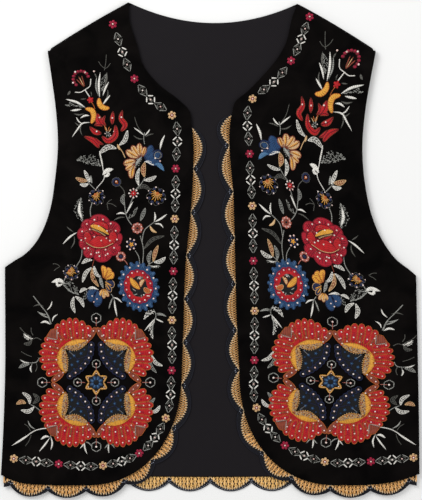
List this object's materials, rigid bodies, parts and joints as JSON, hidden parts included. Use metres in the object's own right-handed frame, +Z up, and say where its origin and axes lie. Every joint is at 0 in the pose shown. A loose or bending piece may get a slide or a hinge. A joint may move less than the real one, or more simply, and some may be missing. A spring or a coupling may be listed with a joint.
{
  "type": "embroidered velvet waistcoat",
  "caption": "Sleeveless open-front waistcoat in black velvet, laid flat, with a round neck, rounded front corners, scalloped lace edges and flower embroidery.",
  "frame": {"origin": "middle of the lying garment's outline, on the surface it lies on", "axes": "+Y towards the shoulders, +X towards the wearer's left front, +Z up out of the fronts"},
  "size_m": [0.486, 0.5755, 0.0078],
  "materials": {
    "velvet": "matt, short pile, black",
    "lining": "smooth woven lining, charcoal",
    "lace": "openwork lace in old gold with a dark navy net edge"
  },
  "bodies": {
    "root": {"back_velvet": "velvet", "back_lining": "lining", "right_front_velvet": "velvet", "left_front_velvet": "velvet", "right_front_lace": "lace", "left_front_lace": "lace", "back_lace": "lace"}
  },
  "joints": []
}
